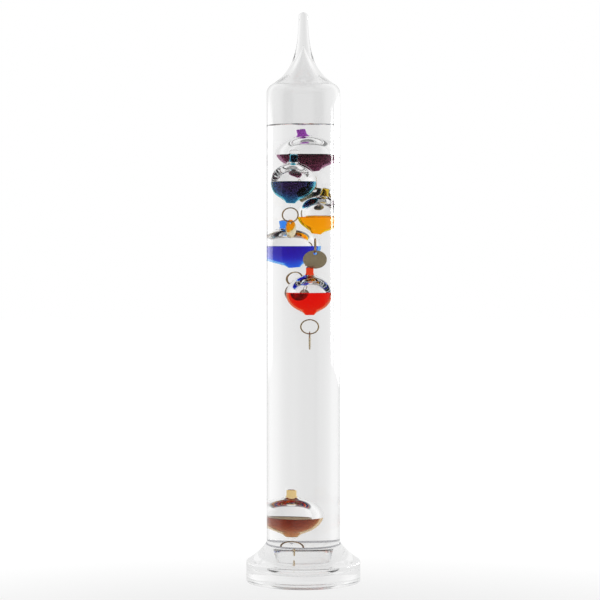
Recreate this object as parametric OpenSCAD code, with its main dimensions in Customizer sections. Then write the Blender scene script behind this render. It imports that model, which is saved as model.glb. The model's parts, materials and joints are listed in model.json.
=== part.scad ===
// Galileo thermometer: a sealed glass column of clear liquid on a glass foot, with six sealed
// glass floats, each part-filled with coloured liquid and weighted by a brass tag on a ring.
// The axis of the column is Z, and the foot stands on the plane Z = 0. X runs to the right,
// and Y runs away from the front.

/* [Column] */
// Height from the resting plane to the top of the sealed tip
overall_h = 330; // [300:1:380]
// Outside diameter of the glass tube
tube_d = 42.6; // [42.6:0.1:45]
// Wall thickness of the glass tube
tube_wall = 2; // [1.8:0.1:2]
// Outside radius of the corner round the tube's closed end
tube_corner_r = 3; // [2.5:0.1:3]
// Inside radius of the corner round the tube's closed end
chamber_corner_r = 1.5; // [1:0.1:1.5]
// Height of the clear liquid's surface
liquid_z = 264.8; // [264.8:0.1:275]

/* [Drawn top] */
// Length of the drawn top, from the end of the straight tube to the tip
crown_h = 47; // [46:0.5:52]
// Radius of the rounded shoulder where the straight tube ends
shoulder_r = 6.2; // [5:0.1:6.5]
// Angle that the shoulder turns through before the flare
shoulder_turn = 58; // [54:1:60]
// Height over which the shoulder's flare narrows to a third
flare_h = 10; // [8:0.5:10]
// Radius of the solid neck below the tip
neck_r = 2.3; // [2:0.1:2.4]
// Radius of the round bead that seals the tip
bead_r = 2.85; // [2.8:0.05:3.2]
// Length of the waist between the neck and the bead
waist_h = 0.6; // [0.4:0.1:1]

/* [Foot] */
// Outside diameter of the foot
foot_d = 66.4; // [60:0.1:80]
// Height of the foot's upright rim
rim_h = 12.4; // [11:0.1:14]
// Height at which the foot's flare meets the tube
collar_z = 22.5; // [21:0.1:26]
// Width of the foot's collar round the tube
collar_w = 0.25; // [0.2:0.05:0.5]
// Angle that the foot's hollow flare turns through
flare_turn = 24; // [16:1:28]
// Radius of the edge on top of the foot's rim
rim_edge_r = 1.2; // [1:0.1:1.4]
// Radius of the edge that the foot stands on
base_edge_r = 0.8; // [0.6:0.1:1]
// Height of the tube's closed end above the resting plane
socket_z = 6; // [5:0.1:6]
// Thickness of the tube's closed end
floor_t = 2.5; // [2:0.1:2.5]
// Diameter of the shallow recess under the foot
recess_d = 48; // [40:1:52]
// Depth of the recess under the foot
recess_h = 2.2; // [1:0.1:3]

/* [Floats, from the top one down: purple, teal, yellow, blue, red, amber] */
// Bulb centres to the right of the axis
float_x = [1.4, -5.1, 7.5, -4.7, 2.9, -4.0]; // [-8:0.1:8]
// Bulb centres behind the axis
float_y = [9.0, -6.3, -3.4, 6.8, -6.4, 7.2]; // [-8:0.1:9]
// Heights of the bulb centres
float_z = [248.9, 232.0, 213.5, 194.6, 167.5, 38.2]; // [38:0.1:249]
// Sizes of the bulbs against the nominal bulb
float_size = [0.91, 1.02, 0.97, 1, 1, 1]; // [0.9:0.01:1.02]
// Leans of the bulbs, with the nub to the right when positive
float_tilt = [-9.5, 3, 9.6, -7.6, 0, 0]; // [-10:0.1:10]
// Dye levels above the bulb centres
dye_level = [-1, 0, -1.8, 0.3, 0.7, -1.2]; // [-3:0.1:3]
// Headings of the hooks' holes, turned from the X axis
hook_turn = [90, -32, 93, -52, 0, 0]; // [-100:1:100]
// Leans of the rings about their hooks
ring_lean = [0, 0, 0, 0, 0, -35]; // [-40:1:40]
// Leans of the tags about their rings
tag_lean = [0, 0, 0, 0, 0, -50]; // [-55:1:55]

/* [Nominal bulb] */
// Outside radius of a nominal bulb
bulb_r = 10.8; // [10:0.1:10.8]
// Wall thickness of a bulb
bulb_wall = 0.45; // [0.4:0.05:0.8]
// Radius of the sealed nub on top of a bulb
nub_r = 2.1; // [1.8:0.1:2.2]
// Wall thickness of the nub
nub_wall = 0.4; // [0.3:0.05:0.5]
// Height of the nub's end above the bulb's centre
nub_z = 17.7; // [17:0.1:18]
// Solid glass between the nub's hollow and its end
nub_cap = 2.1; // [1.8:0.1:2.4]
// Length of the slug of dye caught in the nub
slug_h = 4.8; // [3:0.1:5]
// Radius of the hollow curve between the bulb and its nub
nub_fillet_r = 2.5; // [2:0.1:3]
// Radius of the blunt tail under a bulb
tail_r = 2; // [1.8:0.1:2.4]
// Wall thickness of the tail
tail_wall = 0.6; // [0.4:0.05:0.7]
// Thickness of the tail's closed end
tail_floor = 0.7; // [0.6:0.05:0.9]
// Radius of the hollow curve between the bulb and its tail
tail_fillet_r = 6; // [5:0.5:7]

/* [Hook, ring and tag] */
// Depth of the hook's centre below the bulb's centre
hook_z = 14.4; // [14.4:0.1:15]
// Radius of the hook's centre line
hook_r = 1.5; // [1.4:0.05:1.7]
// Radius of the hook's glass rod
hook_rod_r = 0.6; // [0.5:0.05:0.6]
// Outside diameter of a wire ring
ring_d = 8.8; // [8:0.1:9.4]
// Radius of the ring's wire
wire_r = 0.35; // [0.3:0.05:0.4]
// Diameter of a tag
tag_d = 10.6; // [10:0.1:11]
// Thickness of a tag
tag_t = 0.5; // [0.4:0.1:0.6]
// Radius of the hole in a tag
tag_hole_r = 0.8; // [0.7:0.05:0.9]
// Metal left between a tag's hole and its edge
tag_margin = 1; // [0.8:0.1:1.2]

/* [Hidden] */
$fn = 96;
wire_fn = 32;

// Index of each float in the lists above
PURPLE = 0;
TEAL = 1;
YELLOW = 2;
BLUE = 3;
RED = 4;
AMBER = 5;
FLOATS = [PURPLE, TEAL, YELLOW, BLUE, RED, AMBER];

// Gap between a liquid and the glass that holds it
film = 0.02;
// Gap between two pieces that hang on one another
play = 0.05;
// Gap between a float's glass and the void round it in the liquid
void_gap = 0.1;
// Radius of the void round a float's nub, tail and hook
stub_void_r = 4.6;
// Gap round a float's ring and tag in the liquid
links_gap = 0.5;

tube_r = tube_d / 2;
bore_r = tube_r - tube_wall;
chamber_z = socket_z + floor_t;
straight_z = overall_h - crown_h;

// The convex shoulder turns until it meets the flare, whose radius falls off exponentially.
flare_z = straight_z + shoulder_r * sin(shoulder_turn);
flare_r = tube_r - shoulder_r * (1 - cos(shoulder_turn));
bead_start = -30;
bead_z = overall_h - bead_r;
neck_end_z = bead_z + bead_r * sin(bead_start) - waist_h;

// The hollow follows the outside, and closes to a point inside the neck.
hollow_shoulder_r = shoulder_r - 0.7 * tube_wall;
hollow_flare_r = bore_r - hollow_shoulder_r * (1 - cos(shoulder_turn));
hollow_flare_z = straight_z + hollow_shoulder_r * sin(shoulder_turn);
hollow_h = 1.25 * flare_h;
hollow_offset = 1.3 * neck_r;
hollow_end = hollow_h * ln((hollow_flare_r + hollow_offset) / hollow_offset);

ring_r = ring_d / 2 - wire_r;
hang = hook_r - hook_rod_r - wire_r - play;
tag_drop = tag_d / 2 - tag_margin - wire_r - play;

// n + 1 points along an arc, from angle a to angle b
function arc(c, r, a, b, n) = [for (i = [0:n]) c + r * [cos(a + (b - a) * i / n), sin(a + (b - a) * i / n)]];

// Centre of a fillet of radius f between a sphere of radius r and a rod of radius c on its axis
function fillet_centre(r, c, f) = [c + f, sqrt((r + f) ^ 2 - (c + f) ^ 2)];

// Outline from the axis at the bottom of a bulb to the axis at the top: a tail with a rounded
// corner, a fillet, a sphere, a fillet, and a nub with a rounded end. The corner and the fillet
// of the tail are two arcs that meet without a kink.
function bulb_outline(r, nub, top, f_top, tail, bottom, f_bottom) =
    let (
        up = fillet_centre(r, nub, f_top),
        down = fillet_centre(r, tail, f_bottom),
        a_up = atan2(up[1], up[0]),
        a_down = atan2(down[1], down[0]),
        join = 6,
        end_r = nub * 0.6,
        corner_r = tail * 0.3,
        both_r = f_bottom + corner_r,
        meet = asin((down[1] - bottom + corner_r) / both_r)
    )
    concat(
        [[0, -bottom]],
        arc([down[0] - both_r * cos(meet), corner_r - bottom], corner_r, -90, -meet, 3),
        arc([down[0], -down[1]], f_bottom, 180 - meet, 180 - a_down, 5),
        arc([0, 0], r, -a_down + join, a_up - join, 22),
        arc(up, f_top, 180 + a_up, 180, 5),
        arc([nub - end_r, top - end_r], end_r, 0, 90, 4),
        [[0, top]]
    );

module turned(points) {
    rotate_extrude() polygon(points);
}

// Moves a bulb from its own centre to its place in the column
module at_float(i) {
    translate([float_x[i], float_y[i], float_z[i]]) rotate([0, float_tilt[i], 0]) children();
}

// Moves to the point where the ring of a float hangs in its hook
module at_hook(i) {
    hook = float_size[i] * hook_z + hang;
    translate([
        float_x[i] - hook * sin(float_tilt[i]),
        float_y[i],
        float_z[i] - hook * cos(float_tilt[i])
    ]) rotate([0, 0, hook_turn[i]]) children();
}

module bulb_hollow(size, gap) {
    turned(bulb_outline(
        size * bulb_r - bulb_wall - gap,
        size * nub_r - nub_wall - gap, size * nub_z - nub_cap - gap, nub_fillet_r + nub_wall + gap,
        tail_r - tail_wall - gap, size * hook_z - hook_r - tail_floor - gap, tail_fillet_r + tail_wall + gap
    ));
}

module float_bulb(i) {
    size = float_size[i];
    at_float(i) difference() {
        union() {
            turned(bulb_outline(
                size * bulb_r,
                size * nub_r, size * nub_z, nub_fillet_r,
                tail_r, size * hook_z - hook_r, tail_fillet_r
            ));
            translate([0, 0, -size * hook_z]) rotate([0, 0, hook_turn[i]]) rotate([0, 90, 0])
                rotate_extrude() translate([hook_r, 0]) circle(hook_rod_r, $fn = wire_fn);
        }
        bulb_hollow(size, 0);
    }
}

// The dye that fills a bulb up to its level surface, and the slug of it caught in the nub
module float_dye(i) {
    size = float_size[i];
    side = 3 * bulb_r;
    intersection() {
        at_float(i) bulb_hollow(size, film);
        translate([float_x[i], float_y[i], float_z[i] + dye_level[i] - side / 2]) cube(side, center = true);
    }
    at_float(i) intersection() {
        bulb_hollow(size, film);
        translate([0, 0, size * nub_z - nub_cap]) cube([side, side, 2 * slug_h], center = true);
    }
}

module float_ring(i) {
    at_hook(i) rotate([ring_lean[i], 0, 0]) translate([0, 0, -ring_r]) rotate([90, 0, 0])
        rotate_extrude() translate([ring_r, 0]) circle(wire_r, $fn = wire_fn);
}

module float_tag(i) {
    at_hook(i) rotate([ring_lean[i], 0, 0]) translate([0, 0, -2 * ring_r])
        rotate([tag_lean[i] - ring_lean[i], 0, 0]) rotate([0, 90, 0]) difference() {
            translate([tag_drop, 0, 0]) cylinder(h = tag_t, d = tag_d, center = true);
            translate([tag_hole_r - wire_r - play, 0, 0])
                cylinder(h = 2 * tag_t, r = tag_hole_r, center = true, $fn = 48);
        }
}

module glass_tube() {
    crown = concat(
        arc([tube_r - shoulder_r, straight_z], shoulder_r, 0, shoulder_turn, 8),
        [for (i = [1:14]) let (z = i * (neck_end_z - flare_z) / 14)
            [neck_r + (flare_r - neck_r) * exp(-z / flare_h), flare_z + z]],
        arc([0, bead_z], bead_r, bead_start, 90, 8)
    );
    hollow = concat(
        arc([bore_r - hollow_shoulder_r, straight_z], hollow_shoulder_r, 0, shoulder_turn, 8),
        [for (i = [1:12]) let (z = i * hollow_end / 12)
            [(hollow_flare_r + hollow_offset) * exp(-z / hollow_h) - hollow_offset, hollow_flare_z + z]]
    );
    color("aliceblue", 0.3) difference() {
        turned(concat(
            [[0, socket_z]],
            arc([tube_r - tube_corner_r, socket_z + tube_corner_r], tube_corner_r, -90, 0, 6),
            crown
        ));
        turned(concat(
            [[0, chamber_z]],
            arc([bore_r - chamber_corner_r, chamber_z + chamber_corner_r], chamber_corner_r, -90, 0, 5),
            hollow
        ));
    }
}

// The foot: an upright rim, a slightly hollow flare up to the tube, a socket for the tube's
// closed end, and a recess that leaves a ring to stand on
module glass_foot() {
    foot_r = foot_d / 2;
    socket_r = tube_r + film;
    rim_top = [foot_r - rim_edge_r / 2, rim_h];
    chord = [socket_r + collar_w, collar_z] - rim_top;
    bend = flare_turn / 2;
    flare_arc_r = norm(chord) / (2 * sin(bend));
    heading = atan2(chord[1], chord[0]) + 90;
    centre = rim_top - flare_arc_r * [cos(heading + bend), sin(heading + bend)];
    color("aliceblue", 0.3) difference() {
        turned(concat(
            [[0, 0]],
            arc([foot_r - base_edge_r, base_edge_r], base_edge_r, -90, 0, 4),
            arc([foot_r - rim_edge_r, rim_h - rim_edge_r], rim_edge_r, 0, 60, 4),
            arc(centre, flare_arc_r, heading + bend, heading - bend, 10),
            [[0, collar_z]]
        ));
        turned(concat(
            [[0, socket_z - film]],
            arc([socket_r - tube_corner_r, socket_z - film + tube_corner_r], tube_corner_r, -90, 0, 6),
            [[socket_r, collar_z + 1], [0, collar_z + 1]]
        ));
        translate([0, 0, -1]) cylinder(h = recess_h + 1, d = recess_d);
    }
}

// The liquid in the column, with a void a little larger than each float. The amber float's
// ring and tag lean to the front, so their void is a box on that side.
module clear_liquid() {
    links_r = tag_d / 2 + links_gap;
    links_h = 2 * ring_r + tag_drop + links_r;
    low_corner = [bore_r - film - chamber_corner_r, chamber_z + film + chamber_corner_r];
    color("white", 0.2) difference() {
        turned(concat(
            [[0, chamber_z + film]],
            arc(low_corner, chamber_corner_r, -90, 0, 5),
            [[bore_r - film, liquid_z], [0, liquid_z]]
        ));
        for (i = FLOATS) {
            size = float_size[i];
            at_float(i) {
                sphere(size * bulb_r + void_gap);
                translate([0, 0, bulb_r / 2]) cylinder(h = size * nub_z, r = stub_void_r);
                translate([0, 0, -hook_z - hook_r - hook_rod_r - void_gap])
                    cylinder(h = hook_z, r = stub_void_r);
            }
            if (i != AMBER) at_hook(i) translate([0, 0, -links_h]) cylinder(h = links_h, r = links_r);
        }
        at_hook(AMBER) translate([-links_r, -0.8 * links_h, -links_h])
            cube([2 * links_r, links_h, links_h]);
    }
}

module purple_bulb() { color("plum", 0.4) float_bulb(PURPLE); }
module purple_dye() { color("purple") float_dye(PURPLE); }
module purple_ring() { color("darkgoldenrod") float_ring(PURPLE); }
module purple_tag() { color("goldenrod") float_tag(PURPLE); }

module teal_bulb() { color("paleturquoise", 0.4) float_bulb(TEAL); }
module teal_dye() { color("teal") float_dye(TEAL); }
module teal_ring() { color("darkgoldenrod") float_ring(TEAL); }
module teal_tag() { color("goldenrod") float_tag(TEAL); }

module yellow_bulb() { color("lemonchiffon", 0.4) float_bulb(YELLOW); }
module yellow_dye() { color("orange") float_dye(YELLOW); }
module yellow_ring() { color("darkgoldenrod") float_ring(YELLOW); }
module yellow_tag() { color("goldenrod") float_tag(YELLOW); }

module blue_bulb() { color("lightblue", 0.4) float_bulb(BLUE); }
module blue_dye() { color("mediumblue") float_dye(BLUE); }
module blue_ring() { color("darkgoldenrod") float_ring(BLUE); }
module blue_tag() { color("goldenrod") float_tag(BLUE); }

module red_bulb() { color("mistyrose", 0.4) float_bulb(RED); }
module red_dye() { color("red") float_dye(RED); }
module red_ring() { color("darkgoldenrod") float_ring(RED); }
module red_tag() { color("goldenrod") float_tag(RED); }

module amber_bulb() { color("wheat", 0.4) float_bulb(AMBER); }
module amber_dye() { color("saddlebrown") float_dye(AMBER); }
module amber_ring() { color("darkgoldenrod") float_ring(AMBER); }
module amber_tag() { color("goldenrod") float_tag(AMBER); }

glass_tube();
glass_foot();
clear_liquid();
purple_bulb();
purple_dye();
purple_ring();
purple_tag();
teal_bulb();
teal_dye();
teal_ring();
teal_tag();
yellow_bulb();
yellow_dye();
yellow_ring();
yellow_tag();
blue_bulb();
blue_dye();
blue_ring();
blue_tag();
red_bulb();
red_dye();
red_ring();
red_tag();
amber_bulb();
amber_dye();
amber_ring();
amber_tag();
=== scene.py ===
"""Looks of the galileo thermometer: a sealed column of clear liquid with six glass floats.

Every turned glass piece is rebuilt as a smooth lathe on the frame's own sizes and places. Where two
see-through pieces touch, one of them carries the surface, with the ratio of the two refractive indices,
and the other is left clear there, so light bends once at each boundary as it does in the real object."""

import json
import math

import bmesh
import bpy
from mathutils import Matrix, Vector


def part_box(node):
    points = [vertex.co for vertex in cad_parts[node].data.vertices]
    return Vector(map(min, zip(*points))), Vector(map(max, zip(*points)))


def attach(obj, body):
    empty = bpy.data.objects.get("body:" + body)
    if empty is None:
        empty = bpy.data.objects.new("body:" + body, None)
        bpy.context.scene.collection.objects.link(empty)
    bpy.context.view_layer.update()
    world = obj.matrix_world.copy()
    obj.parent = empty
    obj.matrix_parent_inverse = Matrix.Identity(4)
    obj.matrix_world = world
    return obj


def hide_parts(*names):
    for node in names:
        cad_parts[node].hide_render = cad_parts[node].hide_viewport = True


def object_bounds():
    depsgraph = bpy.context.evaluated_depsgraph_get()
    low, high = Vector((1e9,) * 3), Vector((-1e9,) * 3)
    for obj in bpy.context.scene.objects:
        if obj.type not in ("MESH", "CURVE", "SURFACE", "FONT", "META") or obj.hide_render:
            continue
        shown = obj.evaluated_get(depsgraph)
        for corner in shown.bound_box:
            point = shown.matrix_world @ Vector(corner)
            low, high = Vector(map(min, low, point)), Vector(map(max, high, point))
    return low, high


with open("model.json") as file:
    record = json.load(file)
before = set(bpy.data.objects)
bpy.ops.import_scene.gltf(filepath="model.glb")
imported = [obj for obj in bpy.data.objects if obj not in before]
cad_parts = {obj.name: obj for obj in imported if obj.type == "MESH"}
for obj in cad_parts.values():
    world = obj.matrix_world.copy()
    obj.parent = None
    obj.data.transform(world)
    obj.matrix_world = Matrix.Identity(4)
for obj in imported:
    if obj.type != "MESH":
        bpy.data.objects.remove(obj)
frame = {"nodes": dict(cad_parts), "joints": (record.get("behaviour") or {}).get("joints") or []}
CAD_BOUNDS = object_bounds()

MM = 0.001
FLOATS = ("purple", "teal", "yellow", "blue", "red", "amber")

# Refractive indices
N_GLASS = 1.5
N_LIQUID = 1.45
N_DYE = 1.37

# The tube, its hollow and the liquid, in millimetres and degrees, as the frame's own parts have them
TUBE_WALL = 2.0
TUBE_FLOOR = 2.5
SOCKET_Z = 6.0
CROWN_H = 47.0
SHOULDER_R = 6.2
SHOULDER_TURN = 58
HOLLOW_SHOULDER_R = SHOULDER_R - 0.7 * TUBE_WALL
FLARE_H = 10.0
NECK_R = 2.3
BEAD_R = 2.85
BEAD_START = -30
WAIST_H = 0.6
HOLLOW_FLARE_H = 1.25 * FLARE_H
HOLLOW_LIMIT_R = -1.3 * NECK_R
TUBE_CORNER_R = 3.0
CHAMBER_CORNER_R = 1.5
FILM = 0.02
COLUMN_SEGMENTS = 192

# How high liquid and dye climb the glass, and how far from it they are level again, in millimetres
MENISCUS_H = 0.9
MENISCUS_REACH = 0.9
MENISCUS_STEPS = 24
DYE_MENISCUS_H = 0.5
DYE_MENISCUS_REACH = 0.6
DYE_MENISCUS_RINGS = (0.15, 0.4, 0.8, 1.4, 2.2, 3.5)

# The foot, in millimetres and degrees, and the tint of the joint round the tube
RIM_H = 12.4
RIM_EDGE_R = 1.2
RIM_EDGE_TURN = 60
BASE_EDGE_R = 0.8
COLLAR_W = 0.25
FLARE_TURN = 24
RECESS_R = 24.0
RECESS_H = 2.2
RECESS_EDGE_R = 0.6
JOINT_H = 1.2
JOINT_TINT = (0.5, 0.5, 0.52, 1)

# The nominal float with its hook and ring, in millimetres and degrees
BULB_R = 10.8
BULB_WALL = 0.45
NUB_R = 2.1
NUB_WALL = 0.4
NUB_Z = 17.7
NUB_CAP = 2.1
NUB_FILLET_R = 2.5
NUB_END_SHARE = 0.6
SLUG_H = 4.8
SLUG_CLEARANCE = 0.4
TAIL_R = 2.0
TAIL_WALL = 0.6
TAIL_FLOOR = 0.7
TAIL_FILLET_R = 6.0
TAIL_CORNER_SHARE = 0.3
FILLET_JOIN = 2
BULB_SEGMENTS = 96
SLUG_SEGMENTS = 48
HOOK_Z = 14.4
HOOK_R = 1.5
HOOK_ROD_R = 0.6
HOOK_SEGMENTS = 64
HANG = 0.5
WIRE_R = 0.35
RING_SEGMENTS = 128
ROD_SEGMENTS = 24

# The ring's tag, in millimetres
TAG_R = 5.3
TAG_T = 0.5
TAG_HOLE_R = 0.8
TAG_EDGE = 0.1
TAG_EDGE_BULGE = 0.3
TAG_SEGMENTS = 96
PLAY = 0.05

JOINTS = {joint["name"]: joint for joint in frame["joints"]}

# A radius in mm taken as on the axis, and a distance in m taken as none
ON_AXIS = 1e-4
SNAP = 1e-8

# Angles in degrees between two faces above which the edge between them is sharp
CREASE = 40
SHARP_CREASE = 30


# ---------------------------------------------------------------- outlines, as (radius, height) in mm

def arc(centre, radius, start, end, steps):
    """Points along an arc, from angle start to angle end, in degrees."""
    angles = [math.radians(start + (end - start) * i / steps) for i in range(steps + 1)]
    return [(centre[0] + radius * math.cos(a), centre[1] + radius * math.sin(a)) for a in angles]


def flare(radius, height, length, start_z, steps, limit):
    """Points up a neck whose radius falls off exponentially from radius towards limit."""
    return [(limit + (radius - limit) * math.exp(-z / length), start_z + z)
            for z in (height * i / steps for i in range(1, steps + 1))]


def tube_outside(tube_r, top):
    """The tube's outside from its closed end up over the shoulder and neck to the sealed bead."""
    straight_z = top - CROWN_H
    turn = math.radians(SHOULDER_TURN)
    flare_z = straight_z + SHOULDER_R * math.sin(turn)
    flare_r = tube_r - SHOULDER_R * (1 - math.cos(turn))
    neck_end_z = top - BEAD_R + BEAD_R * math.sin(math.radians(BEAD_START)) - WAIST_H
    bottom = [(0, SOCKET_Z)] + arc((tube_r - TUBE_CORNER_R, SOCKET_Z + TUBE_CORNER_R),
                                   TUBE_CORNER_R, -90, 0, 12)
    shoulder = arc((tube_r - SHOULDER_R, straight_z), SHOULDER_R, 0, SHOULDER_TURN, 24)
    neck = flare(flare_r, neck_end_z - flare_z, FLARE_H, flare_z, 48, NECK_R)
    bead = arc((0, top - BEAD_R), BEAD_R, BEAD_START, 90, 24)
    return bottom + shoulder + neck + bead


def chamber(tube_r, top, level):
    """The hollow of the tube, with a point at the liquid's level."""
    bore_r = tube_r - TUBE_WALL
    straight_z = top - CROWN_H
    turn = math.radians(SHOULDER_TURN)
    flare_r = bore_r - HOLLOW_SHOULDER_R * (1 - math.cos(turn))
    flare_z = straight_z + HOLLOW_SHOULDER_R * math.sin(turn)
    floor_z = SOCKET_Z + TUBE_FLOOR
    end = HOLLOW_FLARE_H * math.log(1 - flare_r / HOLLOW_LIMIT_R)
    bottom = [(0, floor_z)] + arc((bore_r - CHAMBER_CORNER_R, floor_z + CHAMBER_CORNER_R),
                                  CHAMBER_CORNER_R, -90, 0, 10)
    shoulder = arc((bore_r - HOLLOW_SHOULDER_R, straight_z), HOLLOW_SHOULDER_R, 0, SHOULDER_TURN, 20)
    neck = flare(flare_r, end, HOLLOW_FLARE_H, flare_z, 40, HOLLOW_LIMIT_R)
    return bottom + [(bore_r, level)] + shoulder + neck[:-1] + [(0, flare_z + end)]


def fillet_centre(radius, rod, fillet):
    """Centre of an arc that touches a sphere at the origin and a rod on the axis."""
    return rod + fillet, math.sqrt((radius + fillet) ** 2 - (rod + fillet) ** 2)


def bulb_outline(radius, nub, top, top_fillet, tail, bottom, bottom_fillet):
    """From the axis at the bottom to the axis at the top: tail, fillet, sphere, fillet and nub."""
    up = fillet_centre(radius, nub, top_fillet)
    down = fillet_centre(radius, tail, bottom_fillet)
    a_up = math.degrees(math.atan2(up[1], up[0]))
    a_down = math.degrees(math.atan2(down[1], down[0]))
    end_r, corner_r = nub * NUB_END_SHARE, tail * TAIL_CORNER_SHARE
    both_r = bottom_fillet + corner_r
    meet = math.asin((down[1] - bottom + corner_r) / both_r)
    corner = (down[0] - both_r * math.cos(meet), corner_r - bottom)
    meet = math.degrees(meet)
    return ([(0, -bottom)] + arc(corner, corner_r, -90, -meet, 8)
            + arc((down[0], -down[1]), bottom_fillet, 180 - meet, 180 - a_down, 14)[1:]
            + arc((0, 0), radius, -a_down + FILLET_JOIN, a_up - FILLET_JOIN, 64)
            + arc(up, top_fillet, 180 + a_up, 180, 14)
            + arc((nub - end_r, top - end_r), end_r, 0, 90, 10) + [(0, top)])


def bulb_outside(size):
    """The outside of a float of the given size against the nominal one."""
    return bulb_outline(size * BULB_R, size * NUB_R, size * NUB_Z, NUB_FILLET_R,
                        TAIL_R, size * HOOK_Z - HOOK_R, TAIL_FILLET_R)


def bulb_hollow(size, gap=0.0):
    """The inside of a float, shrunk by gap."""
    return bulb_outline(size * BULB_R - BULB_WALL - gap, size * NUB_R - NUB_WALL - gap,
                        size * NUB_Z - NUB_CAP - gap, NUB_FILLET_R + NUB_WALL + gap,
                        TAIL_R - TAIL_WALL - gap, size * HOOK_Z - HOOK_R - TAIL_FLOOR - gap,
                        TAIL_FILLET_R + TAIL_WALL + gap)


def slug_span(size):
    """Lowest and highest height of the dye caught in the nub."""
    return size * NUB_Z - NUB_CAP - SLUG_H, size * NUB_Z - NUB_CAP - SLUG_CLEARANCE


# ---------------------------------------------------------------- mesh building

def spin(mesh, outline, segments, inward=False):
    """Adds an outline in mm turned about Z to a bmesh. Returns its faces."""
    rings = []
    for radius, height in outline:
        if radius < ON_AXIS:
            rings.append([mesh.verts.new((0, 0, height * MM))])
        else:
            rings.append([mesh.verts.new((radius * MM * math.cos(2 * math.pi * k / segments),
                                          radius * MM * math.sin(2 * math.pi * k / segments),
                                          height * MM)) for k in range(segments)])
    faces = []
    for low, high in zip(rings, rings[1:]):
        for k in range(segments):
            n = (k + 1) % segments
            corners = [low[k % len(low)], low[n % len(low)], high[n % len(high)], high[k % len(high)]]
            corners = list(dict.fromkeys(corners))
            faces.append(mesh.faces.new(corners[::-1] if inward else corners))
    return faces


def torus(mesh, place, major, minor, around, across):
    """Adds a ring in mm, about its own Z, moved by the matrix place. Returns its faces."""
    verts = []
    for i in range(around):
        turn = 2 * math.pi * i / around
        for j in range(across):
            tilt = 2 * math.pi * j / across
            out = major + minor * math.cos(tilt)
            point = Vector((out * math.cos(turn), out * math.sin(turn), minor * math.sin(tilt))) * MM
            verts.append(mesh.verts.new(place @ point))
    faces = []
    for i in range(around):
        for j in range(across):
            a, b = i * across, ((i + 1) % around) * across
            n = (j + 1) % across
            faces.append(mesh.faces.new((verts[a + j], verts[b + j], verts[b + n], verts[a + n])))
    return faces


def finished(name, mesh, materials, body, replaced, crease=CREASE):
    """Makes the object of a bmesh, smooth except at creases, and puts it on its body."""
    for face in mesh.faces:
        face.smooth = True
    for edge in mesh.edges:
        if len(edge.link_faces) == 2:
            edge.smooth = edge.calc_face_angle(0) < math.radians(crease)
    data = bpy.data.meshes.new(name)
    mesh.to_mesh(data)
    mesh.free()
    piece = bpy.data.objects.new(name, data)
    bpy.context.scene.collection.objects.link(piece)
    for material in materials:
        data.materials.append(material)
    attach(piece, body)
    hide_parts(replaced)
    return piece


# ---------------------------------------------------------------- materials

# Wear of the brass: tone of worn spots, spread of roughness, and pits in metres
GRAIN_DETAIL = 6.0
WORN_TONE = 0.6
SMOOTHEST = 0.7
ROUGHEST = 1.4
PIT_STRENGTH = 0.2
PIT_DEPTH = 0.0002

# Depth in mm of dye that gives its full colour, and limits that keep its density a number above zero
DYE_DEPTH = 14.0
FAINTEST = 1e-4
LEAST_DENSITY = 1e-3


def new_material(name):
    material = bpy.data.materials.new(name)
    material.use_nodes = True
    tree = material.node_tree
    tree.nodes.clear()
    return material, tree, tree.nodes.new("ShaderNodeOutputMaterial")


def node(tree, kind, **values):
    """A shader node with the given inputs: a value sets one, and a socket links to it."""
    made = tree.nodes.new(kind)
    for key, value in values.items():
        socket = made.inputs[int(key[1:]) if key[0] == "i" and key[1:].isdigit() else key.replace("_", " ")]
        if isinstance(value, bpy.types.NodeSocket):
            tree.links.new(value, socket)
        else:
            socket.default_value = value
    return made


def mixed(tree, share, start, end):
    """A colour between start and end, each a value or a socket."""
    made = tree.nodes.new("ShaderNodeMix")
    made.data_type = "RGBA"
    tree.links.new(share, made.inputs["Factor"])
    for socket, value in ((made.inputs[6], start), (made.inputs[7], end)):
        if isinstance(value, bpy.types.NodeSocket):
            tree.links.new(value, socket)
        else:
            socket.default_value = value
    return made.outputs[2]


def glass(name, ratio, tint=(1, 1, 1, 1)):
    """A boundary that bends light by ratio, the index inside over the index outside."""
    material, tree, out = new_material(name)
    shader = node(tree, "ShaderNodeBsdfGlass", Color=tint, Roughness=0.0, IOR=ratio)
    tree.links.new(shader.outputs["BSDF"], out.inputs["Surface"])
    return material


def clear(name):
    """A boundary that another piece carries."""
    material, tree, out = new_material(name)
    shader = node(tree, "ShaderNodeBsdfTransparent")
    tree.links.new(shader.outputs["BSDF"], out.inputs["Surface"])
    return material


def dye(name, ratio, edge, centre):
    """A boundary of dyed liquid: its thin edges keep one colour and its full depth another."""
    material, tree, out = new_material(name)
    shader = node(tree, "ShaderNodeBsdfGlass", Roughness=0.0, IOR=ratio,
                  Color=[math.sqrt(c) for c in edge] + [1])
    absorbed = [max(0, math.log(max(e, FAINTEST) / max(c, FAINTEST))) / (DYE_DEPTH * MM)
                for e, c in zip(edge, centre)]
    most = max(*absorbed, LEAST_DENSITY)
    kept = [1 - a / most for a in absorbed] + [1]
    inside = node(tree, "ShaderNodeVolumeAbsorption", Color=kept, Density=most)
    tree.links.new(shader.outputs["BSDF"], out.inputs["Surface"])
    tree.links.new(inside.outputs["Volume"], out.inputs["Volume"])
    return material


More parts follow.
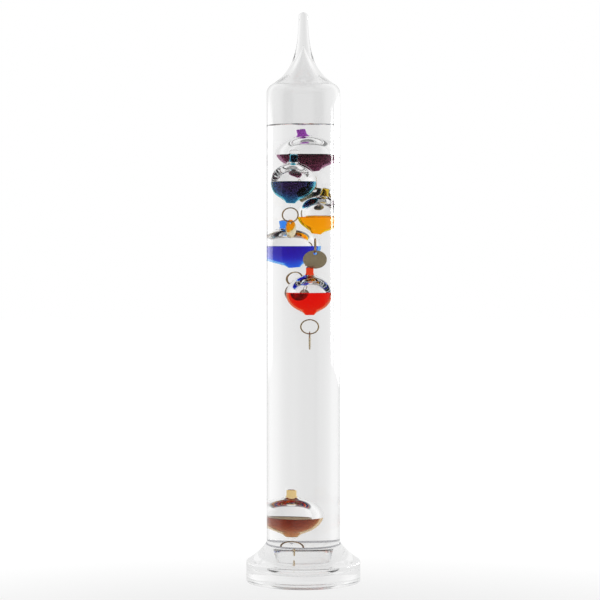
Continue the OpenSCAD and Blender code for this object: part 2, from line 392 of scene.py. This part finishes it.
def brass(name, colour, roughness, grain):
    """Worn brass: a metal whose tone and roughness vary with a fine grain."""
    material, tree, out = new_material(name)
    place = node(tree, "ShaderNodeTexCoord")
    noise = node(tree, "ShaderNodeTexNoise", Vector=place.outputs["Object"], Scale=grain,
                 Detail=GRAIN_DETAIL)
    worn = [c * WORN_TONE for c in colour] + [1]
    tone = mixed(tree, noise.outputs["Fac"], worn, [*colour, 1])
    rough = node(tree, "ShaderNodeMapRange", Value=noise.outputs["Fac"],
                 To_Min=roughness * SMOOTHEST, To_Max=roughness * ROUGHEST)
    bump = node(tree, "ShaderNodeBump", Height=noise.outputs["Fac"], Strength=PIT_STRENGTH,
                Distance=PIT_DEPTH)
    shader = node(tree, "ShaderNodeBsdfPrincipled", Metallic=1.0, Base_Color=tone,
                  Roughness=rough.outputs[0], Normal=bump.outputs[0])
    tree.links.new(shader.outputs["BSDF"], out.inputs["Surface"])
    return material


# ---------------------------------------------------------------- the column

def box_mm(name):
    low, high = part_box(name)
    return low / MM, high / MM


def column_sizes():
    """The tube's radius and top, and the liquid's level, in mm."""
    tube_low, tube_high = box_mm("glass_tube")
    liquid_high = box_mm("clear_liquid")[1]
    return (tube_high.x - tube_low.x) / 2, tube_high.z, liquid_high.z


def make_tube():
    """The sealed tube. Its inside is left clear where liquid wets it."""
    tube_r, top, level = column_sizes()
    mesh = bmesh.new()
    spin(mesh, tube_outside(tube_r, top), COLUMN_SEGMENTS)
    for face in spin(mesh, chamber(tube_r, top, level), COLUMN_SEGMENTS, inward=True):
        if face.calc_center_median().z < level * MM:
            face.material_index = 1
    materials = [glass("tube_glass", N_GLASS), clear("tube_wet")]
    return finished("tube_glass", mesh, materials, "column", "glass_tube")


def make_liquid():
    """The liquid, whose surface climbs the wall a little all round."""
    tube_r, top, level = column_sizes()
    radius = tube_r - TUBE_WALL - FILM
    floor_z = SOCKET_Z + TUBE_FLOOR + FILM
    corner = (radius - CHAMBER_CORNER_R, floor_z + CHAMBER_CORNER_R)
    side = [(0, floor_z)] + arc(corner, CHAMBER_CORNER_R, -90, 0, 10)
    reach = radius / 2
    inward = [reach * (i / MENISCUS_STEPS) ** 2 for i in range(MENISCUS_STEPS + 1)]
    surface = [(radius - x, level - MENISCUS_H + MENISCUS_H * math.exp(-x / MENISCUS_REACH)) for x in inward]
    mesh = bmesh.new()
    spin(mesh, side + surface[:1], COLUMN_SEGMENTS)
    for face in spin(mesh, surface + [(0, surface[-1][1])], COLUMN_SEGMENTS):
        face.material_index = 1
    bmesh.ops.remove_doubles(mesh, verts=mesh.verts, dist=10 * SNAP)
    materials = [glass("liquid_side", N_LIQUID / N_GLASS), glass("liquid_surface", N_LIQUID)]
    return finished("clear_liquid_body", mesh, materials, "column", "clear_liquid",
                    crease=SHARP_CREASE)


def make_foot():
    """The glass foot: a low rim, a hollow flare up to the tube, a socket and a shallow recess below."""
    tube_r = column_sizes()[0]
    low, high = box_mm("glass_foot")
    foot_r, collar_z = (high.x - low.x) / 2, high.z
    socket_r, socket_z = tube_r + FILM, SOCKET_Z - FILM
    top, start = (socket_r + COLLAR_W, collar_z), (foot_r - RIM_EDGE_R / 2, RIM_H)
    chord = (top[0] - start[0], top[1] - start[1])
    bend = FLARE_TURN / 2
    radius = math.hypot(*chord) / (2 * math.sin(math.radians(bend)))
    heading = math.degrees(math.atan2(chord[1], chord[0])) + 90
    lead = math.radians(heading + bend)
    centre = (start[0] - radius * math.cos(lead), start[1] - radius * math.sin(lead))
    recess = (RECESS_R - RECESS_EDGE_R, RECESS_H - RECESS_EDGE_R)
    outline = ([(0, RECESS_H)] + arc(recess, RECESS_EDGE_R, 90, 0, 6) + [(RECESS_R, 0)]
               + arc((foot_r - BASE_EDGE_R, BASE_EDGE_R), BASE_EDGE_R, -90, 0, 8)
               + arc((foot_r - RIM_EDGE_R, RIM_H - RIM_EDGE_R), RIM_EDGE_R, 0, RIM_EDGE_TURN, 10)
               + arc(centre, radius, heading + bend, heading - bend, 24)
               + [(socket_r, collar_z), (socket_r, collar_z - JOINT_H)]
               + arc((socket_r - TUBE_CORNER_R, socket_z + TUBE_CORNER_R), TUBE_CORNER_R, 0, -90, 12)
               + [(0, socket_z)])
    mesh = bmesh.new()
    for face in spin(mesh, outline, COLUMN_SEGMENTS):
        middle = face.calc_center_median()
        if middle.z > (collar_z - JOINT_H) * MM and middle.xy.length < (socket_r + COLLAR_W) * MM:
            face.material_index = 1
    materials = [glass("foot_glass", N_GLASS), glass("foot_joint", N_GLASS, JOINT_TINT)]
    return finished("foot_glass", mesh, materials, "column", "glass_foot")


# ---------------------------------------------------------------- the floats

def float_place(name):
    """Size and place of a float's bulb: its own Z runs from the hook to the nub."""
    low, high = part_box(name + "_bulb")
    size = (high.y - low.y) / (2 * BULB_R * MM)
    hook = Vector(JOINTS[name + "_ring_swing"]["pos_m"])
    reach = (size * HOOK_Z + HANG) * MM
    lean = math.asin(((low.x + high.x) / 2 - hook.x) / reach)
    centre = hook + Vector((math.sin(lean), 0, math.cos(lean))) * reach
    return size, Matrix.Translation(centre) @ Matrix.Rotation(lean, 4, "Y")


def axis_frame(centre, z_axis, x_hint):
    """A matrix at centre whose Z is z_axis and whose X is as near x_hint as it can be."""
    z = Vector(z_axis).normalized()
    y = z.cross(Vector(x_hint)).normalized()
    return Matrix.Translation(centre) @ Matrix((y.cross(z), y, z)).transposed().to_4x4()


def dye_height(name):
    """The height of a float's level dye surface, from the top of the lower of the dye's two bodies."""
    verts = frame["nodes"][name + "_dye"].data.vertices
    size, place = float_place(name)
    top = 0.5 * size * BULB_R * MM
    return max(v.co.z for v in verts if (place.inverted() @ v.co).z < top)


def dye_level(name, place):
    """A point and a normal of a float's level dye surface, in the float's own frame."""
    point = Vector((place.translation.x, place.translation.y, dye_height(name)))
    return place.inverted() @ point, place.inverted().to_3x3() @ Vector((0, 0, 1))


def make_bulb(name, outer, inner, wet):
    """A blown bulb with its hook. Its inside is left clear where dye wets it."""
    size, place = float_place(name)
    level, up = dye_level(name, place)
    slug_low, slug_top = slug_span(size)
    mesh = bmesh.new()
    spin(mesh, bulb_hollow(size), BULB_SEGMENTS, inward=True)
    parts = list(mesh.verts) + list(mesh.edges) + list(mesh.faces)
    bmesh.ops.bisect_plane(mesh, geom=parts, plane_co=level, plane_no=up, dist=SNAP)
    for face in mesh.faces:
        middle = face.calc_center_median()
        in_dye = (middle - level).dot(up) < 0 or slug_low * MM < middle.z < slug_top * MM
        face.material_index = 2 if in_dye else 1
    spin(mesh, bulb_outside(size), BULB_SEGMENTS)
    swing = Vector(JOINTS[name + "_ring_swing"]["axis"])
    hook = axis_frame(Vector((0, 0, -size * HOOK_Z * MM)), place.inverted().to_3x3() @ swing, (0, 0, 1))
    torus(mesh, hook, HOOK_R, HOOK_ROD_R, HOOK_SEGMENTS, ROD_SEGMENTS)
    mesh.transform(place)
    return finished(name + "_glass_float", mesh, [outer, inner, wet], name + "_float", name + "_bulb")


def make_dye(name, materials):
    """The dye up to its level, with an edge that climbs the glass a little, and the slug in the nub."""
    size, place = float_place(name)
    level, up = dye_level(name, place)
    mesh = bmesh.new()
    spin(mesh, bulb_hollow(size, FILM), BULB_SEGMENTS)
    parts = list(mesh.verts) + list(mesh.edges) + list(mesh.faces)
    bmesh.ops.bisect_plane(mesh, geom=parts, plane_co=level, plane_no=up, dist=SNAP, clear_outer=True)
    rim = [edge for edge in mesh.edges if edge.is_boundary]
    surface = cap_with_meniscus(mesh, rim, up)
    for face in surface:
        face.material_index = 1
    slug_low, slug_top = slug_span(size)
    body = [p for p in bulb_hollow(size, FILM) if slug_low < p[1] < slug_top and p[0] > 0]
    outline = [(0, slug_low), (body[0][0], slug_low)] + body + [(body[-1][0], slug_top), (0, slug_top)]
    for face in spin(mesh, outline, SLUG_SEGMENTS):
        face.material_index = 2
    mesh.transform(place)
    return finished(name + "_dye_body", mesh, materials, name + "_float", name + "_dye",
                    crease=SHARP_CREASE)


def cap_with_meniscus(mesh, rim, up):
    """Closes the loop of edges rim with rings that shrink towards its middle as they sink a little."""
    ring = []
    edge, vert = rim[0], rim[0].verts[0]
    while vert not in ring:
        ring.append(vert)
        vert = edge.other_vert(vert)
        edge = next(e for e in vert.link_edges if e in rim and e is not edge)
    middle = sum((v.co for v in ring), Vector()) / len(ring)
    radius = sum((v.co - middle).length for v in ring) / len(ring)
    start, faces = ring, []
    for share in DYE_MENISCUS_RINGS:
        inset, sink = share * DYE_MENISCUS_REACH * MM, DYE_MENISCUS_H * MM * (1 - math.exp(-share))
        new = [mesh.verts.new(middle + (v.co - middle) * (1 - inset / radius) - up * sink) for v in start]
        faces += [mesh.faces.new((ring[k - 1], ring[k], new[k], new[k - 1])) for k in range(len(ring))]
        ring = new
    faces.append(mesh.faces.new(ring))
    for face in faces:
        face.normal_update()
        if face.normal.dot(up) < 0:
            face.normal_flip()
    return faces


def make_ring(name, material):
    """A wire ring from the float's hook down to the tag's pivot."""
    hook = Vector(JOINTS[name + "_ring_swing"]["pos_m"])
    pivot = Vector(JOINTS[name + "_tag_swing"]["pos_m"])
    axis = Vector(JOINTS[name + "_ring_swing"]["axis"])
    down = (pivot - hook).normalized()
    mesh = bmesh.new()
    place = axis_frame((hook + pivot) / 2, axis.cross(down), down)
    torus(mesh, place, (pivot - hook).length / 2 / MM, WIRE_R, RING_SEGMENTS, ROD_SEGMENTS)
    return finished(name + "_wire_ring", mesh, [material], name + "_link", name + "_ring")


def make_tag(name, material):
    """A disc with soft edges and a hole that hangs on the ring's wire."""
    low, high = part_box(name + "_tag")
    centre = (low + high) / 2
    pivot = Vector(JOINTS[name + "_tag_swing"]["pos_m"])
    axis = Vector(JOINTS[name + "_tag_swing"]["axis"])
    place = axis_frame(centre, axis, pivot - centre)
    hole = (pivot - centre).length / MM - (TAG_HOLE_R - WIRE_R - PLAY)
    half, near = TAG_T / 2, TAG_EDGE * TAG_EDGE_BULGE
    steps = ((TAG_EDGE, -half), (near, near - half), (0, TAG_EDGE - half),
             (0, half - TAG_EDGE), (near, half - near), (TAG_EDGE, half))
    mesh = bmesh.new()
    outer = rings_of(mesh, TAG_R, 0, [(-inset, height) for inset, height in steps])
    inner = rings_of(mesh, TAG_HOLE_R, hole, steps)
    for k in range(TAG_SEGMENTS):
        for low_ring, high_ring in zip(outer, outer[1:]):
            mesh.faces.new((low_ring[k - 1], low_ring[k], high_ring[k], high_ring[k - 1]))
        for low_ring, high_ring in zip(inner, inner[1:]):
            mesh.faces.new((low_ring[k], low_ring[k - 1], high_ring[k - 1], high_ring[k]))
        mesh.faces.new((outer[0][k], outer[0][k - 1], inner[0][k - 1], inner[0][k]))
        mesh.faces.new((outer[-1][k - 1], outer[-1][k], inner[-1][k], inner[-1][k - 1]))
    mesh.transform(place)
    return finished(name + "_brass_tag", mesh, [material], name + "_weight", name + "_tag")


def rings_of(mesh, radius, offset, steps):
    """Rings of points in mm about a centre on X, each step adding to the radius and giving a height."""
    turns = [2 * math.pi * k / TAG_SEGMENTS for k in range(TAG_SEGMENTS)]
    return [[mesh.verts.new(Vector((offset + (radius + extra) * math.cos(turn),
                                    (radius + extra) * math.sin(turn), height)) * MM) for turn in turns]
            for extra, height in steps]


# What each dye leaves of white light: at its thin edges, over its full depth, and in the nub's slug
DYES = {
    "purple": ((0.15, 0.03, 0.08), (0.062, 0.014, 0.026), (0.3, 0.06, 0.4)),
    "teal": ((0.02, 0.29, 0.48), (0.03, 0.026, 0.09), (0.05, 0.45, 0.6)),
    "yellow": ((1.13, 0.44, 0.0), (1.1, 0.39, 0.0), (0.75, 0.5, 0.03)),
    "blue": ((0.03, 0.24, 0.98), (0.034, 0.027, 0.52), (0.05, 0.28, 1.0)),
    "red": ((0.93, 0.03, 0.005), (0.93, 0.008, 0.001), (0.9, 0.06, 0.015)),
    "amber": ((0.62, 0.36, 0.15), (0.26, 0.06, 0.03), (0.85, 0.62, 0.28)),
}

# Tone, roughness and grain of the rings, and of each tag: some are bright and some have gone dull
RING_LOOK = ((0.62, 0.46, 0.26), 0.25, 900)
TAG_LOOKS = {
    "purple": ((0.7, 0.55, 0.3), 0.2, 900),
    "teal": ((0.85, 0.75, 0.5), 0.1, 500),
    "yellow": ((0.78, 0.64, 0.4), 0.42, 1500),
    "blue": ((0.6, 0.5, 0.4), 0.2, 900),
    "red": ((0.7, 0.55, 0.3), 0.25, 900),
    "amber": ((0.75, 0.55, 0.25), 0.25, 900),
}


def make_floats():
    """Every float with its dye, ring and tag."""
    outer = glass("float_outside", N_GLASS / N_LIQUID)
    inner = glass("float_inside", N_GLASS)
    wet = clear("float_wet")
    wire = brass("ring_wire", *RING_LOOK)
    for name in FLOATS:
        edge, centre, caught = DYES[name]
        materials = [dye(name + "_dye_side", N_DYE / N_GLASS, edge, centre),
                     dye(name + "_dye_surface", N_DYE, edge, centre),
                     dye(name + "_dye_slug", N_DYE / N_GLASS, caught, caught)]
        make_bulb(name, outer, inner, wet)
        make_dye(name, materials)
        make_ring(name, wire)
        make_tag(name, brass(name + "_tag_brass", *TAG_LOOKS[name]))


# ---------------------------------------------------------------- the studio

# Tones of the room against azimuth in degrees from straight behind, positive to the right: as seen
# through the glass, and as mirrored by it, where soft boxes show
ROOM_THROUGH = ((-180, 0.45), (-150, 0.4), (-140, 0.12), (-115, 0.15), (-95, 0.8), (-52, 0.98), (-37, 0.95),
                (-29, 0.865), (-17, 0.83), (-12, 0.79), (0, 0.79), (9, 0.825), (17, 0.85), (28, 0.91),
                (36, 0.96), (50, 1.03), (95, 0.8), (115, 0.15), (140, 0.12), (150, 0.4), (180, 0.45))
ROOM_MIRRORED = ((-180, 0.12), (-112, 0.12), (-108, 0.5), (-70, 0.5), (-66, 2.4), (-34, 2.4), (-30, 0.8),
                 (25, 0.9), (28, 14), (66, 14), (67, 0.8), (73, 0.8), (74, 14), (82, 14), (84, 0.5),
                 (112, 0.12), (180, 0.12))

# Heights of a direction, as the sine of its elevation: where the soft boxes end, up and down, and where
# the walls give way to the ceiling
SOFT_BOX_REACH = 0.065
SOFT_BOX_FADE = 0.015
CEILING_START = 0.78
CEILING_END = 0.88
CEILING_TONE = 0.25

# The floor's own emission, greyer as a painted shade round a spot in front of the foot, and how far
# from the foot glass sees it
SHADE_SPOT = (0, -0.25, 0)
SHADE_NEAR = 0.17
SHADE_FAR = 0.36
FLOOR_GLOW_IN_PAINTED_SHADE = 0.8
FLOOR_GLOW = 0.97
FLOOR_MATTE = 0.1
GLOW_REACH = 0.1
# Share of the floor's emission that glass sees: a painted shade that greys the foot
GLOW_IN_GLASS_PAINTED_SHADE = 0.85
FLOOR_REACH = 12

# The camera, with its distances as shares of the object's height
CAMERA_LENS = 121
CAMERA_SENSOR = 36
CAMERA_LEFT = -0.0058
CAMERA_BACK = -3.545
CAMERA_UP = 0.597
AIM_UP = 0.4958

# How often light may pass or turn inside the glass, inside metal and on the floor
GLASS_BOUNCES = 40
METAL_BOUNCES = 12
FLOOR_BOUNCES = 3


def tones(tree, turn, stops):
    """A grey ramp of a direction's azimuth, given as a share of a whole turn."""
    ramp = node(tree, "ShaderNodeValToRGB", Fac=turn)
    elements = ramp.color_ramp.elements
    while len(elements) < len(stops):
        elements.new(0.5)
    for element, (angle, value) in zip(elements, stops):
        element.position = 0.5 + angle / 360
        element.color = (value, value, value, 1)
    return ramp.outputs["Color"]


def operation(tree, kind, *values):
    """The output of a maths node of the given kind."""
    made = node(tree, "ShaderNodeMath", **{"i" + str(i): value for i, value in enumerate(values)})
    made.operation = kind
    return made.outputs[0]


def room_tone(tree, path):
    """The room's tone in every direction, for light that has met the object."""
    place = node(tree, "ShaderNodeTexCoord")
    parts = node(tree, "ShaderNodeSeparateXYZ", Vector=place.outputs["Generated"])
    azimuth = operation(tree, "ARCTAN2", parts.outputs["X"], parts.outputs["Y"])
    turn = node(tree, "ShaderNodeMapRange", Value=azimuth, From_Min=-math.pi, From_Max=math.pi)
    level = node(tree, "ShaderNodeMapRange", Value=operation(tree, "ABSOLUTE", parts.outputs["Z"]),
                 From_Min=SOFT_BOX_REACH, From_Max=SOFT_BOX_REACH + SOFT_BOX_FADE, To_Min=1.0, To_Max=0.0)
    mirrored = operation(tree, "MULTIPLY", path.outputs["Is Reflection Ray"], level.outputs[0])
    walls = mixed(tree, mirrored, tones(tree, turn.outputs[0], ROOM_THROUGH),
                  tones(tree, turn.outputs[0], ROOM_MIRRORED))
    height = node(tree, "ShaderNodeMapRange", Value=parts.outputs["Z"], From_Min=CEILING_START,
                  From_Max=CEILING_END)
    return mixed(tree, height.outputs[0], walls, (*[CEILING_TONE] * 3, 1))


def make_world():
    """A white backdrop for the camera, and a light grey room with soft boxes for the glass."""
    world = bpy.data.worlds.new("studio")
    bpy.context.scene.world = world
    world.use_nodes = True
    tree = world.node_tree
    tree.nodes.clear()
    path = node(tree, "ShaderNodeLightPath")
    room = node(tree, "ShaderNodeBackground", Color=room_tone(tree, path))
    backdrop = node(tree, "ShaderNodeBackground", Color=(1, 1, 1, 1))
    mix = node(tree, "ShaderNodeMixShader", Fac=path.outputs["Is Camera Ray"], i1=room.outputs[0],
               i2=backdrop.outputs[0])
    out = tree.nodes.new("ShaderNodeOutputWorld")
    tree.links.new(mix.outputs[0], out.inputs["Surface"])


def floor_material():
    """White, with a painted shade that greys it in front of the foot, and a painted shade that dims it where
    glass sees it. Glass sees it near the foot, and sees the walls of the studio further out, where a real
    floor would mirror them."""
    material, tree, out = new_material("floor_white")
    place = node(tree, "ShaderNodeTexCoord").outputs["Object"]
    path = node(tree, "ShaderNodeLightPath").outputs["Is Camera Ray"]
    shade = node(tree, "ShaderNodeVectorMath", i0=place, i1=SHADE_SPOT)
    shade.operation = "DISTANCE"
    # Painted shade: the floor's emission greys round a spot in front of the foot
    painted_shade_glow = node(tree, "ShaderNodeMapRange", Value=shade.outputs["Value"], From_Min=SHADE_NEAR,
                From_Max=SHADE_FAR, To_Min=FLOOR_GLOW_IN_PAINTED_SHADE, To_Max=FLOOR_GLOW)
    # Painted shade: rays that are not camera rays see the floor dimmer
    share = node(tree, "ShaderNodeMapRange", Value=path, To_Min=GLOW_IN_GLASS_PAINTED_SHADE)
    strength = operation(tree, "MULTIPLY", painted_shade_glow.outputs[0], share.outputs[0])
    seen = node(tree, "ShaderNodeEmission", Strength=strength)
    matte = node(tree, "ShaderNodeBsdfDiffuse", Color=(*[FLOOR_MATTE] * 3, 1))
    lit = node(tree, "ShaderNodeAddShader", i0=seen.outputs[0], i1=matte.outputs[0])
    away = node(tree, "ShaderNodeVectorMath", i0=place)
    away.operation = "LENGTH"
    near = node(tree, "ShaderNodeMapRange", Value=away.outputs["Value"], From_Min=GLOW_REACH,
                From_Max=2 * GLOW_REACH, To_Min=1.0, To_Max=0.0)
    kept = operation(tree, "MAXIMUM", path, near.outputs[0])
    open_room = node(tree, "ShaderNodeBsdfTransparent")
    both = node(tree, "ShaderNodeMixShader", Fac=kept, i1=open_room.outputs[0], i2=lit.outputs[0])
    tree.links.new(both.outputs[0], out.inputs["Surface"])
    return material


def make_floor():
    """A wide flat floor at the height of the foot's resting ring."""
    mesh = bmesh.new()
    bmesh.ops.create_grid(mesh, x_segments=8, y_segments=8, size=FLOOR_REACH * CAD_BOUNDS[1].z)
    data = bpy.data.meshes.new("floor")
    mesh.to_mesh(data)
    mesh.free()
    floor = bpy.data.objects.new("floor", data)
    floor.data.materials.append(floor_material())
    bpy.context.scene.collection.objects.link(floor)


def make_camera():
    """Far in front, a little above the column's middle and to its left."""
    height = CAD_BOUNDS[1].z
    aim = Vector((CAMERA_LEFT, 0, AIM_UP)) * height
    spot = Vector((CAMERA_LEFT, CAMERA_BACK, CAMERA_UP)) * height
    data = bpy.data.cameras.new("camera")
    data.lens, data.sensor_width = CAMERA_LENS, CAMERA_SENSOR
    camera = bpy.data.objects.new("camera", data)
    camera.location = spot
    camera.rotation_mode = "QUATERNION"
    camera.rotation_quaternion = (aim - spot).to_track_quat("-Z", "Y")
    bpy.context.scene.collection.objects.link(camera)
    bpy.context.scene.camera = camera


def set_light_paths():
    """Enough bounces for light that crosses tube, liquid, floats and dye, and plain display colours."""
    scene = bpy.context.scene
    cycles = scene.cycles
    cycles.max_bounces = GLASS_BOUNCES
    cycles.transmission_bounces = GLASS_BOUNCES
    cycles.transparent_max_bounces = GLASS_BOUNCES
    cycles.glossy_bounces = METAL_BOUNCES
    cycles.diffuse_bounces = FLOOR_BOUNCES
    cycles.volume_bounces = 0
    cycles.caustics_refractive = True
    cycles.caustics_reflective = True
    cycles.use_denoising = True
    scene.view_settings.view_transform = "Standard"


make_tube()
make_liquid()
make_foot()
make_floats()
make_world()
make_floor()
make_camera()
set_light_paths()
